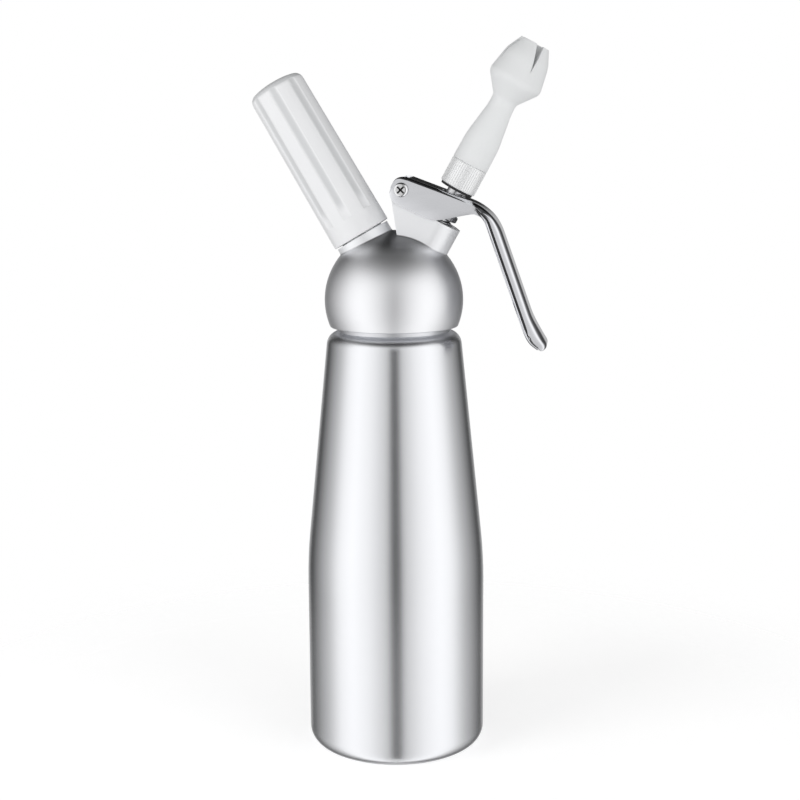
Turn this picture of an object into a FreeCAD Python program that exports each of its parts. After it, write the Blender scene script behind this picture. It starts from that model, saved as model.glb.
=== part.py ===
import FreeCAD, Part
import math
import os

import Sketcher

# Whipped cream dispenser: an aluminium bottle with a screwed head. The head carries a holder for a
# gas charger, leaning to -X, and a valve with a lever and a decorating tip, leaning to +X.
# Millimetres and degrees. Origin at the centre of the bottle's base, +Z up, charger side at -X.

SIZES = {
    # Bottle: drawn aluminium, straight below and tapering above, with a screw neck
    "bottle_radius": 38.65,
    "straight_height": 84.4,
    "taper_blend": 209.0,
    "shoulder_radius": 28.7,
    "shoulder_height": 184.0,
    "shoulder_drop": 1.6,
    "shoulder_rounding": 5.8,
    "base_rounding": 7.0,
    "base_ring_inset": 9.65,
    "base_dish": 3.0,
    "base_dish_rounding": 8.0,
    "base_ring_rounding": 2.0,
    "bottle_wall": 1.3,
    "collar_radius": 23.9,
    "collar_height": 1.6,
    "neck_height": 22.5,
    "mouth_radius": 20.8,
    "neck_thread_radius": 23.7,
    "neck_thread_depth": 1.0,
    "neck_thread_pitch": 3.0,
    "neck_thread_turns": 3.0,
    "neck_thread_start": 5.5,
    # Fits between pieces
    "thread_gap": 0.1,
    "running_gap": 0.05,
    "seat_gap": 0.05,
    # Thread ridges, as shares of their pitch, and how far a cut runs past what it cuts
    "ridge_crest": 0.1,
    "ridge_foot": 0.34,
    "ridge_root": 0.1,
    "cut_clear": 1.0,
    # Head: cast aluminium dome, its rim just above the bottle's collar
    "dome_radius": 29.7,
    "dome_rise": 13.3,
    "rim_rise": 1.9,
    "rim_rounding": 0.8,
    "gasket_thickness": 2.0,
    "gasket_inner_radius": 19.9,
    "chamber_radius": 19.5,
    "chamber_height": 6.5,
    "chamber_rounding": 5.5,
    # The point where the valve's axis and the charger's axis cross, over the centre of the dome
    "crossing_x": 1.9,
    "crossing_rise": 1.2,
    "valve_lean": 28.7,
    "charger_lean": 30.3,
    # Valve boss, with heights measured from the crossing along the valve's axis
    "boss_radius": 9.75,
    "boss_top": 37.3,
    "boss_fillet": 0.7,
    "well_radius": 6.0,
    "well_floor": 28.0,
    "valve_seat": 19.0,
    "seat_face_radius": 7.5,
    "flow_radius": 4.7,
    "flow_top": 22.5,
    # Lever block between the boss and the pivot
    "block_clear": 8.0,
    "lug_radius": 4.6,
    "lug_top": 4.3,
    "lug_lean": 37.2,
    # Lever pivot, measured along the valve's axis and square to it
    "pivot_rise": 41.56,
    "pivot_arm": 19.67,
    "pivot_radius": 2.2,
    "pivot_head_radius": 3.1,
    "pivot_head_height": 1.8,
    "pivot_head_rounding": 1.1,
    "screw_radius": 1.45,
    "screw_reach": 4.0,
    "cross_width": 0.75,
    "cross_length": 3.8,
    "cross_depth": 1.0,
    "cross_turn": 45.0,
    # Valve stem and what it carries
    "stem_radius": 3.5,
    "stem_bore_radius": 1.5,
    "stem_foot": 15.0,
    "stem_flange_radius": 5.8,
    "stem_seal_thickness": 2.0,
    "stem_port_height": 20.9,
    "stem_port_radius": 1.0,
    "ring_height": 25.5,
    "ring_groove_radius": 2.5,
    "ring_groove_width": 1.7,
    "ring_rounding": 0.35,
    "stem_thread_radius": 3.0,
    "stem_thread_depth": 0.45,
    "stem_thread_pitch": 1.0,
    "stem_thread_turns": 5.0,
    "stem_thread_relief": 1.5,
    "stem_shoulder": 51.8,
    "stem_top": 59.5,
    "stroke": 1.7,
    "stroke_gap": 0.1,
    "collar_flange_radius": 6.6,
    "collar_flange_thickness": 2.5,
    "collar_sleeve_radius": 5.2,
    "collar_rounding": 0.6,
    "spring_wire_radius": 0.45,
    "spring_radius": 4.7,
    "spring_turns": 6.5,
    # Lever: pressed stainless sheet, measured from its pivot along and square to its plate
    "lever_lean": 20.7,
    "lever_sheet": 1.3,
    "lever_side_gap": 0.2,
    "plate_rise": 5.8,
    "plate_start": 1.2,
    "cheek_end": 4.4,
    "cheek_end_top": 5.4,
    "cheek_end_drop": 5.75,
    "cheek_end_rounding": 5.2,
    "cheek_belly_at": 17.0,
    "cheek_belly_drop": 7.5,
    "cheek_belly_rounding": 10.0,
    "lip_at": 32.1,
    "lip_rise": 1.0,
    "lip_rounding": 2.0,
    "arm_bend_at": 39.35,
    "arm_bend_angle": 49.8,
    "arm_bend_rounding": 22.0,
    "arm_inner_rounding": 4.0,
    "arm_depth": 5.2,
    "arm_curl_at": 48.0,
    "arm_curl_rounding": 30.0,
    "arm_heel_at": 56.2,
    "arm_heel_rounding": 8.0,
    "arm_end": 62.4,
    "arm_end_rise": 2.6,
    "arm_end_rounding": 2.2,
    "arm_toe_drop": 1.2,
    "spoon_wall": 4.0,
    "lever_edge_rounding": 1.8,
    "slot_length": 10.0,
    "slot_width": 8.0,
    # Nozzle adapter and decorating tip
    "washer_radius": 7.2,
    "washer_thickness": 1.0,
    "washer_rounding": 0.3,
    "adapter_radius": 7.9,
    "adapter_height": 11.2,
    "adapter_edge": 0.6,
    "adapter_bore_radius": 2.0,
    "knurl_count": 48,
    "knurl_depth": 0.35,
    "knurl_flare": 1.4,
    "tip_thread_radius": 5.0,
    "tip_thread_depth": 0.7,
    "tip_thread_pitch": 1.5,
    "tip_thread_turns": 3.0,
    "tip_thread_height": 7.0,
    "tip_seal_thickness": 1.2,
    "tip_length": 56.2,
    "tip_wall": 1.5,
    "tip_edge": 0.4,
    "tip_lip_rounding": 0.3,
    "tip_base_height": 11.0,
    "tip_base_draft": 0.2,
    "tip_base_rounding": 30.0,
    "tip_waist_start": 26.0,
    "tip_waist_end": 30.2,
    "tip_waist_radius": 5.4,
    "tip_waist_rounding": 25.0,
    "tip_neck_rounding": 3.0,
    "tip_channel_radius": 3.4,
    "tip_bulb_height": 38.6,
    "tip_bulb_radius": 11.9,
    "tip_bulb_rounding": 4.0,
    "tip_crown_height": 49.6,
    "tip_crown_radius": 9.7,
    "tip_crown_rounding": 14.0,
    "tip_mouth_radius": 6.4,
    "slit_depth": 11.8,
    "slit_width": 3.6,
    "slit_turn": 25.0,
    # Charger spigot on the head, measured from the crossing along the charger's axis
    "charger_boss_radius": 12.2,
    "charger_boss_top": 30.4,
    "charger_boss_fillet": 0.7,
    "spigot_radius": 10.2,
    "spigot_top": 39.5,
    "spigot_thread_depth": 0.7,
    "spigot_thread_pitch": 1.5,
    "spigot_thread_turns": 4.5,
    "inlet_radius": 4.75,
    "inlet_floor": 24.5,
    "inlet_passage_radius": 1.2,
    "check_valve_thickness": 1.6,
    "pin_body_height": 4.0,
    "pin_needle_radius": 1.0,
    "pin_needle_reach": 4.4,
    "pin_passage_radius": 0.4,
    "pin_edge": 0.1,
    "pin_bevel": 1.0,
    "pin_seal_gap": 0.3,
    "pin_groove_radius": 3.7,
    "pin_groove_width": 1.4,
    "port_seal_thickness": 1.8,
    # Gas charger: a standard 8 gram steel capsule
    "charger_radius": 9.3,
    "charger_length": 65.5,
    "charger_neck_radius": 4.4,
    "charger_neck_length": 8.8,
    "charger_neck_wall": 4.2,
    "charger_lip_rounding": 0.8,
    "charger_neck_rounding": 2.0,
    "charger_shoulder": 9.2,
    "charger_shoulder_rounding": 8.0,
    "charger_wall": 1.4,
    "charger_hole_radius": 1.5,
    "charger_inner_drop": 0.6,
    "charger_inner_neck_rounding": 1.5,
    "charger_inner_shoulder_rounding": 6.0,
    "round_end_gap": 0.1,
    # Charger holder: plastic sleeve over a threaded aluminium insert
    "holder_gap": 0.6,
    "holder_rim_radius": 13.0,
    "holder_rim_rounding": 0.4,
    "holder_top_radius": 12.25,
    "holder_top_wall": 6.1,
    "holder_dome": 1.6,
    "holder_dome_rounding": 20.0,
    "holder_edge_rounding": 3.5,
    "holder_bore_gap": 0.2,
    "holder_top_gap": 1.0,
    "insert_radius": 11.6,
    "insert_height": 9.6,
    "insert_inset": 0.4,
    "flute_count": 8,
    "flute_phase": 46.5,
    "flute_radius": 8.0,
    "flute_depth": 0.45,
    "flute_start": 8.5,
}


# How closely an edge or face has to lie where it is looked for, when edges are picked for rounding
TOLERANCE = 0.001


class Dim:
    """A size as a number, with the spreadsheet formula that gives it."""

    def __init__(self, value, formula=None):
        self.value = float(value)
        self.formula = formula or f"({value})"

    def __add__(self, other):
        other = dim(other)
        return Dim(self.value + other.value, f"({self.formula} + {other.formula})")

    def __sub__(self, other):
        other = dim(other)
        return Dim(self.value - other.value, f"({self.formula} - {other.formula})")

    def __mul__(self, other):
        other = dim(other)
        return Dim(self.value * other.value, f"({self.formula} * {other.formula})")

    def __truediv__(self, other):
        other = dim(other)
        return Dim(self.value / other.value, f"({self.formula} / {other.formula})")

    def __radd__(self, other):
        return dim(other) + self

    def __rsub__(self, other):
        return dim(other) - self

    def __rmul__(self, other):
        return dim(other) * self

    def __neg__(self):
        return Dim(-self.value, f"(-{self.formula})")


def dim(number):
    return number if isinstance(number, Dim) else Dim(number)


def sine(angle):
    return Dim(math.sin(math.radians(angle.value)), f"sin({angle.formula})")


def cosine(angle):
    return Dim(math.cos(math.radians(angle.value)), f"cos({angle.formula})")


def tangent(angle):
    return Dim(math.tan(math.radians(angle.value)), f"tan({angle.formula})")


def arcsine(ratio):
    return Dim(math.degrees(math.asin(ratio.value)), f"asin({ratio.formula})")


class Sizes:
    """The spreadsheet of driving sizes, read as Dim attributes."""

    def __init__(self, doc, values):
        sheet = doc.addObject("Spreadsheet::Sheet", "sizes")
        for row, (name, value) in enumerate(values.items(), start=1):
            sheet.set(f"A{row}", name)
            sheet.set(f"B{row}", str(value))
            sheet.setAlias(f"B{row}", name)
            setattr(self, name, Dim(value, f"sizes.{name}"))


class Axis:
    """A local frame whose +Z leans from vertical in the XZ plane, to +X (side 1) or -X (side -1)."""

    def __init__(self, x, z, lean, side=1):
        self.x = dim(x)
        self.z = dim(z)
        self.lean = dim(lean)
        self.side = side

    def point(self, across, along):
        """The X and Z of a point given across and along this axis."""
        across = dim(across)
        x = self.x + cosine(self.lean) * across + self.side * sine(self.lean) * along
        z = self.z + cosine(self.lean) * along - self.side * sine(self.lean) * across
        return x, z

    def place(self, thing):
        """Puts a body or a primitive in this frame."""
        turn = FreeCAD.Rotation(FreeCAD.Vector(0, self.side, 0), self.lean.value)
        thing.Placement = FreeCAD.Placement(FreeCAD.Vector(self.x.value, 0, self.z.value), turn)
        thing.setExpression("Placement.Base.x", self.x.formula)
        thing.setExpression("Placement.Base.z", self.z.formula)
        thing.setExpression("Placement.Rotation.Angle", self.lean.formula)

    def offset(self, sketch):
        """Shifts and turns a sketch on the XZ plane into this frame."""
        turn = FreeCAD.Rotation(FreeCAD.Vector(0, 0, -self.side), self.lean.value)
        shift = FreeCAD.Vector(self.x.value, self.z.value, 0)
        sketch.AttachmentOffset = FreeCAD.Placement(shift, turn)
        sketch.setExpression("AttachmentOffset.Base.x", self.x.formula)
        sketch.setExpression("AttachmentOffset.Base.y", self.z.formula)
        sketch.setExpression("AttachmentOffset.Rotation.Angle", self.lean.formula)


doc = FreeCAD.newDocument("whipped_cream_dispenser")
S = Sizes(doc, SIZES)


# Sketches and features

def bind(thing, **properties):
    """Binds an object's properties to formulas of the spreadsheet."""
    for name, size in properties.items():
        thing.setExpression(name, dim(size).formula)


def bind_spot(thing, spot):
    """Binds the place of a body or a primitive, given as three sizes."""
    for letter, size in zip("xyz", spot):
        thing.setExpression(f"Placement.Base.{letter}", size.formula)


def new_body(name):
    body = doc.addObject("PartDesign::Body", name)
    body.Label = name
    return body


def origin_part(body, role):
    return next(item for item in body.Origin.OriginFeatures if item.Role == role)


def unit(start, end):
    step = end - start
    return step / step.Length


def outline(body, name, corners, plane="XZ_Plane", axis=None):
    """A closed sketch through corners, each (across, up) or (across, up, rounding)."""
    sketch = body.newObject("Sketcher::SketchObject", name)
    sketch.AttachmentSupport = (origin_part(body, plane), [""])
    sketch.MapMode = "FlatFace"
    if axis:
        axis.offset(sketch)
    corners = [[dim(size) for size in corner] for corner in corners]
    spots = [FreeCAD.Vector(corner[0].value, corner[1].value, 0) for corner in corners]
    count = len(corners)
    starts = list(spots)
    ends = list(spots)
    arcs = {}
    for index, corner in enumerate(corners):
        if len(corner) == 3:
            spot = spots[index]
            back = unit(spot, spots[index - 1])
            ahead = unit(spot, spots[(index + 1) % count])
            half = back.getAngle(ahead) / 2
            radius = corner[2].value
            ends[index] = spot + back * (radius / math.tan(half))
            starts[index] = spot + ahead * (radius / math.tan(half))
            middle = spot + unit(FreeCAD.Vector(), back + ahead) * (radius / math.sin(half))
            arcs[index] = (middle, radius, back.cross(ahead).z < 0)
    lines = [Part.LineSegment(starts[i], ends[(i + 1) % count]) for i in range(count)]
    sketch.addGeometry(lines, False)
    for index, corner in enumerate(corners):
        before = (index - 1) % count
        if index in arcs:
            middle, radius, leftward = arcs[index]
            first, last = (ends[index], starts[index]) if leftward else (starts[index], ends[index])
            arc = round_corner(sketch, middle, radius, first, last)
            joins = [(before, 2, arc, 1), (arc, 2, index, 1)]
            if not leftward:
                joins = [(before, 2, arc, 2), (arc, 1, index, 1)]
            sketch.addConstraint([Sketcher.Constraint("Tangent", *join) for join in joins])
            name_constraint(sketch, f"rounding{index}", corner[2], "Radius", arc)
            spot = sketch.addGeometry(Part.Point(spots[index]), True)
            sketch.addConstraint([Sketcher.Constraint("PointOnObject", spot, 1, before),
                                  Sketcher.Constraint("PointOnObject", spot, 1, index)])
            at = (spot, 1)
        else:
            sketch.addConstraint(Sketcher.Constraint("Coincident", before, 2, index, 1))
            at = (index, 1)
        hold(sketch, f"across{index}", corner[0], "DistanceX", at, -2)
        hold(sketch, f"up{index}", corner[1], "DistanceY", at, -1)
    return sketch


def round_corner(sketch, middle, radius, first, last):
    """Adds the arc of a rounded corner and returns its number."""
    circle = Part.Circle(middle, FreeCAD.Vector(0, 0, 1), radius)
    arc = Part.ArcOfCircle(circle, circle.parameter(first), circle.parameter(last))
    return sketch.addGeometry(arc, False)


def name_constraint(sketch, name, size, kind, *places):
    number = sketch.addConstraint(Sketcher.Constraint(kind, *places, size.value))
    sketch.renameConstraint(number, name)
    sketch.setExpression(f"Constraints.{name}", size.formula)


def hold(sketch, name, size, kind, at, zero_axis):
    """Fixes a point's distance from an axis, or puts it on the axis where that distance is 0."""
    if size.formula == "(0)":
        sketch.addConstraint(Sketcher.Constraint("PointOnObject", *at, zero_axis))
    else:
        name_constraint(sketch, name, size, kind, -1, 1, *at)


def turn(body, name, corners, kind="Revolution", axis=None):
    """A turned feature: the outline's half section swept round its vertical axis."""
    sketch = outline(body, f"{name}_section", corners, axis=axis)
    feature = body.newObject(f"PartDesign::{kind}", name)
    feature.Profile = (sketch, [""])
    feature.ReferenceAxis = (sketch, ["V_Axis"])
    feature.Angle = 360
    return feature


def prism(body, name, corners, length, kind="Pad", plane="XZ_Plane", axis=None):
    """A Pad or Pocket of an outline, half of its length to each side of the plane."""
    sketch = outline(body, f"{name}_outline", corners, plane, axis)
    feature = body.newObject(f"PartDesign::{kind}", name)
    feature.Profile = (sketch, [""])
    feature.SideType = "Symmetric"
    bind(feature, Length=length)
    return feature


def thread(body, name, radius, depth, pitch, turns, start, axis=None):
    """A right-handed helical ridge on a core, its crest at the given radius."""
    root = radius - depth - pitch * S.ridge_root
    foot = pitch * S.ridge_foot
    crest = pitch * S.ridge_crest
    corners = [(root, start - foot), (radius, start - crest), (radius, start + crest), (root, start + foot)]
    sketch = outline(body, f"{name}_section", corners, axis=axis)
    return helix(body, name, sketch, pitch, turns)


def helix(body, name, sketch, pitch, turns):
    feature = body.newObject("PartDesign::AdditiveHelix", name)
    feature.Profile = (sketch, [""])
    feature.ReferenceAxis = (sketch, ["V_Axis"])
    feature.Mode = "pitch-turns-angle"
    bind(feature, Pitch=pitch, Turns=turns)
    return feature


def repeat(body, name, feature, count, angle=360):
    """Repeats a feature round the body's own Z axis."""
    pattern = body.newObject("PartDesign::PolarPattern", name)
    pattern.Originals = [feature]
    pattern.Axis = (origin_part(body, "Z_Axis"), [""])
    pattern.Angle = angle
    bind(pattern, Occurrences=count)
    body.Tip = pattern
    return pattern


def fillet(body, name, radius, wanted):
    """Rounds the edges of the body's last feature that pass a test on the edge and its faces."""
    doc.recompute()
    last = body.Tip
    shape = last.Shape
    picked = []
    for number, edge in enumerate(shape.Edges, start=1):
        if wanted(edge, shape.ancestorsOfType(edge, Part.Face)):
            picked.append(f"Edge{number}")
    feature = body.newObject("PartDesign::Fillet", name)
    feature.Base = (last, picked)
    bind(feature, Radius=radius)
    return feature


def turned_body(name, corners, axis=None):
    body = new_body(name)
    turn(body, f"{name}_turning", corners)
    if axis:
        axis.place(body)
    return body


def ring(name, inner, outer, bottom, top, axis=None, rounding=None):
    """A turned ring of rectangular section, with rounded edges where asked."""
    corners = [(inner, bottom), (outer, bottom), (outer, top), (inner, top)]
    if rounding:
        corners = [corner + (rounding,) for corner in corners]
    return turned_body(name, corners, axis)


mouth = S.shoulder_height + S.neck_height
head_seat = mouth + S.gasket_thickness
rim_height = S.shoulder_height + S.rim_rise
dome_height = S.shoulder_height + S.dome_rise
crossing_height = dome_height + S.crossing_rise

VALVE = Axis(S.crossing_x, crossing_height, S.valve_lean)
CHARGER = Axis(S.crossing_x, crossing_height, S.charger_lean, side=-1)
PIVOT = Axis(*VALVE.point(-S.pivot_arm, S.pivot_rise), S.lever_lean)


def make_bottle():
    """One drawn shell: dished base, straight wall, taper, shoulder and threaded neck."""
    wall = S.bottle_wall
    inner_radius = S.bottle_radius - wall
    inner_shoulder = S.shoulder_radius - wall
    core = S.neck_thread_radius - S.neck_thread_depth
    ring_radius = S.bottle_radius - S.base_ring_inset
    dish_radius = ring_radius - S.base_dish
    shoulder_edge = S.shoulder_height - S.shoulder_drop
    collar_top = S.shoulder_height + S.collar_height
    corners = [
        (0, S.base_dish), (dish_radius, S.base_dish, S.base_dish_rounding),
        (ring_radius, 0, S.base_ring_rounding), (S.bottle_radius, 0, S.base_rounding),
        (S.bottle_radius, S.straight_height, S.taper_blend),
        (S.shoulder_radius, shoulder_edge, S.shoulder_rounding), (S.collar_radius, S.shoulder_height),
        (S.collar_radius, collar_top), (core, collar_top), (core, mouth), (S.mouth_radius, mouth),
        (S.mouth_radius, S.shoulder_height - wall),
        (inner_shoulder, shoulder_edge - wall, S.shoulder_rounding - wall),
        (inner_radius, S.straight_height, S.taper_blend), (inner_radius, wall * 2, S.base_rounding - wall),
        (ring_radius, wall * 2, S.base_ring_rounding),
        (dish_radius, S.base_dish + wall, S.base_dish_rounding), (0, S.base_dish + wall),
    ]
    body = turned_body("bottle", corners)
    thread(body, "neck_thread", S.neck_thread_radius, S.neck_thread_depth, S.neck_thread_pitch,
           S.neck_thread_turns, S.shoulder_height + S.neck_thread_start)
    return body


def make_head():
    """The cast head: boss with lever block, dome, charger boss, and the passages inside."""
    body = new_body("head")
    top = S.pivot_rise + S.lug_top
    section = boss_section(body, S.boss_radius, S.pivot_arm + S.lug_radius * 2)
    block = body.newObject("PartDesign::Pad", "boss_and_block")
    block.Profile = (section, [""])
    bind(block, Length=top)

    lug_left = -S.pivot_arm - S.lug_radius / tangent((90 - S.lug_lean) / 2)
    foot = lug_left + top * tangent(S.lug_lean)
    outside = S.pivot_arm * 2
    trim = top + S.lug_radius
    prism(body, "block_sides", [
        (foot, 0), (lug_left, top, S.lug_radius), (-S.block_clear, top), (-S.block_clear, S.boss_top),
        (outside, S.boss_top), (outside, trim), (-outside, trim), (-outside, 0)],
        outside, "Pocket", axis=VALVE)

    dome = body.newObject("PartDesign::AdditiveSphere", "dome")
    dome.Placement.Base.z = dome_height.value
    bind_spot(dome, (dim(0), dim(0), dome_height))
    bind(dome, Radius=S.dome_radius, Angle1=-arcsine((dome_height - rim_height) / S.dome_radius))
    boss = body.newObject("PartDesign::AdditiveCylinder", "charger_boss")
    bind(boss, Radius=S.charger_boss_radius, Height=S.charger_boss_top)
    CHARGER.place(boss)

    fillet(body, "valve_boss_foot", S.boss_fillet, lambda edge, faces: (
        is_round(faces, Part.Sphere, S.dome_radius) and edge.BoundBox.XMax > S.boss_radius.value
        and (is_round(faces, Part.Cylinder, S.boss_radius) or is_side(faces, S.boss_radius))))
    fillet(body, "charger_boss_foot", S.charger_boss_fillet, lambda edge, faces: (
        is_round(faces, Part.Sphere, S.dome_radius)
        and is_round(faces, Part.Cylinder, S.charger_boss_radius)))

    spigot_core = S.spigot_radius - S.spigot_thread_depth
    spigot = body.newObject("PartDesign::AdditiveCylinder", "spigot")
    bind(spigot, Radius=spigot_core, Height=S.spigot_top)
    CHARGER.place(spigot)
    thread(body, "spigot_thread", S.spigot_radius, S.spigot_thread_depth, S.spigot_thread_pitch,
           S.spigot_thread_turns, S.charger_boss_top + S.spigot_thread_pitch, axis=CHARGER)

    neck_bore = S.neck_thread_radius + S.thread_gap
    below_rim = rim_height - S.cut_clear
    chamber_top = head_seat + S.chamber_height
    corners = [(0, below_rim), (neck_bore, below_rim), (neck_bore, head_seat),
               (S.chamber_radius, head_seat), (S.chamber_radius, chamber_top, S.chamber_rounding),
               (0, chamber_top)]
    turn(body, "neck_bore", corners, "Groove")

    guide = S.stem_radius + S.running_gap
    below = S.valve_seat / 2
    over_boss = S.boss_top + S.cut_clear
    corners = [(0, below), (S.seat_face_radius, below), (S.seat_face_radius, S.valve_seat),
               (S.flow_radius, S.valve_seat), (S.flow_radius, S.flow_top), (guide, S.flow_top),
               (guide, S.well_floor), (S.well_radius, S.well_floor), (S.well_radius, over_boss),
               (0, over_boss)]
    turn(body, "valve_bore", corners, "Groove", axis=VALVE)

    below = S.inlet_floor / 2
    over_spigot = S.spigot_top + S.cut_clear
    corners = [(0, below), (S.inlet_passage_radius, below), (S.inlet_passage_radius, S.inlet_floor),
               (S.inlet_radius, S.inlet_floor), (S.inlet_radius, over_spigot), (0, over_spigot)]
    turn(body, "inlet_bore", corners, "Groove", axis=CHARGER)

    hole = body.newObject("PartDesign::SubtractiveCylinder", "pivot_hole")
    cross_bore(hole, S.pivot_radius + S.running_gap, (S.boss_radius + S.cut_clear) * 2, PIVOT.x, PIVOT.z)

    fillet(body, "rim_edge", S.rim_rounding, lambda edge, faces: (
        is_round(faces, Part.Sphere, S.dome_radius) and lies_at(edge, rim_height)))
    return body


def is_round(faces, surface, radius):
    """Whether one of the faces is such a surface of this radius."""
    return any(isinstance(face.Surface, surface) and abs(face.Surface.Radius - radius.value) < TOLERANCE
               for face in faces)


def is_side(faces, offset):
    """Whether one of the faces is flat and stands this far to either side of the XZ plane."""
    return any(face.BoundBox.YLength < TOLERANCE
               and abs(abs(face.BoundBox.YMin) - offset.value) < TOLERANCE for face in faces)


def boss_section(body, radius, reach):
    """The round end and two straight sides of the boss with its block, square to the valve's axis."""
    sketch = body.newObject("Sketcher::SketchObject", "boss_section")
    sketch.AttachmentSupport = (origin_part(body, "XY_Plane"), [""])
    sketch.MapMode = "FlatFace"
    lean = FreeCAD.Rotation(FreeCAD.Vector(0, 1, 0), VALVE.lean.value)
    sketch.AttachmentOffset = FreeCAD.Placement(FreeCAD.Vector(VALVE.x.value, 0, VALVE.z.value), lean)
    sketch.setExpression("AttachmentOffset.Base.x", VALVE.x.formula)
    sketch.setExpression("AttachmentOffset.Base.z", VALVE.z.formula)
    sketch.setExpression("AttachmentOffset.Rotation.Angle", VALVE.lean.formula)
    half = radius.value
    left = -reach.value
    near, far = FreeCAD.Vector(0, -half, 0), FreeCAD.Vector(0, half, 0)
    near_left, far_left = FreeCAD.Vector(left, -half, 0), FreeCAD.Vector(left, half, 0)
    circle = Part.Circle(FreeCAD.Vector(), FreeCAD.Vector(0, 0, 1), half)
    round_end = Part.ArcOfCircle(circle, -math.pi / 2, math.pi / 2)
    sketch.addGeometry([Part.LineSegment(near_left, near), round_end,
                        Part.LineSegment(far, far_left), Part.LineSegment(far_left, near_left)], False)
    sketch.addConstraint([
        Sketcher.Constraint("Tangent", 0, 2, 1, 1), Sketcher.Constraint("Tangent", 1, 2, 2, 1),
        Sketcher.Constraint("Coincident", 2, 2, 3, 1), Sketcher.Constraint("Coincident", 3, 2, 0, 1),
        Sketcher.Constraint("Coincident", 1, 3, -1, 1), Sketcher.Constraint("Horizontal", 0),
        Sketcher.Constraint("Horizontal", 2), Sketcher.Constraint("Vertical", 3)])
    name_constraint(sketch, "radius", radius, "Radius", 1)
    name_constraint(sketch, "reach", -reach, "DistanceX", -1, 1, 3, 1)
    return sketch


def lies_at(edge, height):
    low, high = edge.BoundBox.ZMin, edge.BoundBox.ZMax
    return abs(low - height.value) + abs(high - height.value) < TOLERANCE


def cross_bore(cylinder, radius, length, x, z):
    """Lays a cylinder along Y, centred on the XZ plane at x and z."""
    along_y = FreeCAD.Rotation(FreeCAD.Vector(1, 0, 0), 90)
    spot = (dim(x), length / 2, dim(z))
    cylinder.Placement = FreeCAD.Placement(FreeCAD.Vector(*[size.value for size in spot]), along_y)
    bind(cylinder, Radius=radius, Height=length)
    bind_spot(cylinder, spot)


def make_valve():
    """Stem with its foot seal and ring, the collar that the lever presses, and its spring."""
    seal_bottom = S.valve_seat - S.stem_seal_thickness
    groove_top = S.ring_height + S.ring_groove_width
    thread_core = S.stem_thread_radius - S.stem_thread_depth
    bore_floor = S.stem_port_height - S.stem_port_radius * 2
    stem = turned_body("valve_stem", [
        (0, S.stem_foot), (S.stem_flange_radius, S.stem_foot), (S.stem_flange_radius, seal_bottom),
        (S.stem_radius, seal_bottom), (S.stem_radius, S.ring_height),
        (S.ring_groove_radius, S.ring_height), (S.ring_groove_radius, groove_top),
        (S.stem_radius, groove_top), (S.stem_radius, S.stem_shoulder), (thread_core, S.stem_shoulder),
        (thread_core, S.stem_top), (S.stem_bore_radius, S.stem_top),
        (S.stem_bore_radius, bore_floor), (0, bore_floor)], VALVE)
    port = stem.newObject("PartDesign::SubtractiveCylinder", "stem_port")
    cross_bore(port, S.stem_port_radius, (S.stem_radius + S.cut_clear) * 2, 0, S.stem_port_height)
    repeat(stem, "stem_ports", port, 2, 90)
    thread(stem, "stem_thread", S.stem_thread_radius, S.stem_thread_depth, S.stem_thread_pitch,
           S.stem_thread_turns, S.stem_shoulder + S.stem_thread_pitch * S.stem_thread_relief)

    ring("valve_seal", S.stem_radius + S.seat_gap, S.stem_flange_radius, seal_bottom, S.valve_seat, VALVE)
    ring("stem_ring", S.ring_groove_radius + S.seat_gap, S.stem_radius, S.ring_height + S.seat_gap,
         groove_top - S.seat_gap, VALVE, S.ring_rounding)

    between = S.valve_lean - S.lever_lean
    under_plate = S.plate_rise - S.lever_sheet
    reach = S.pivot_arm - S.collar_sleeve_radius
    sleeve_top = S.pivot_rise + (under_plate + reach * sine(between)) / cosine(between) - S.seat_gap
    flange_bottom = S.boss_top + S.stroke + S.stroke_gap
    flange_top = flange_bottom + S.collar_flange_thickness
    bore = S.stem_radius + S.seat_gap
    turned_body("stem_collar", [
        (bore, flange_bottom), (S.collar_flange_radius, flange_bottom, S.collar_rounding),
        (S.collar_flange_radius, flange_top, S.collar_rounding), (S.collar_sleeve_radius, flange_top),
        (S.collar_sleeve_radius, sleeve_top), (bore, sleeve_top)], VALVE)

    spring = new_body("return_spring")
    bottom = S.well_floor + S.spring_wire_radius + S.seat_gap
    height = flange_bottom - S.well_floor - (S.spring_wire_radius + S.seat_gap) * 2
    wire = spring.newObject("Sketcher::SketchObject", "spring_wire")
    wire.AttachmentSupport = (origin_part(spring, "XZ_Plane"), [""])
    wire.MapMode = "FlatFace"
    centre = FreeCAD.Vector(S.spring_radius.value, bottom.value, 0)
    circle = Part.Circle(centre, FreeCAD.Vector(0, 0, 1), S.spring_wire_radius.value)
    wire.addGeometry(circle, False)
    name_constraint(wire, "wire", S.spring_wire_radius, "Radius", 0)
    hold(wire, "across", S.spring_radius, "DistanceX", (0, 3), -2)
    hold(wire, "up", bottom, "DistanceY", (0, 3), -1)
    helix(spring, "spring_coil", wire, height / S.spring_turns, S.spring_turns)
    VALVE.place(spring)


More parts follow.
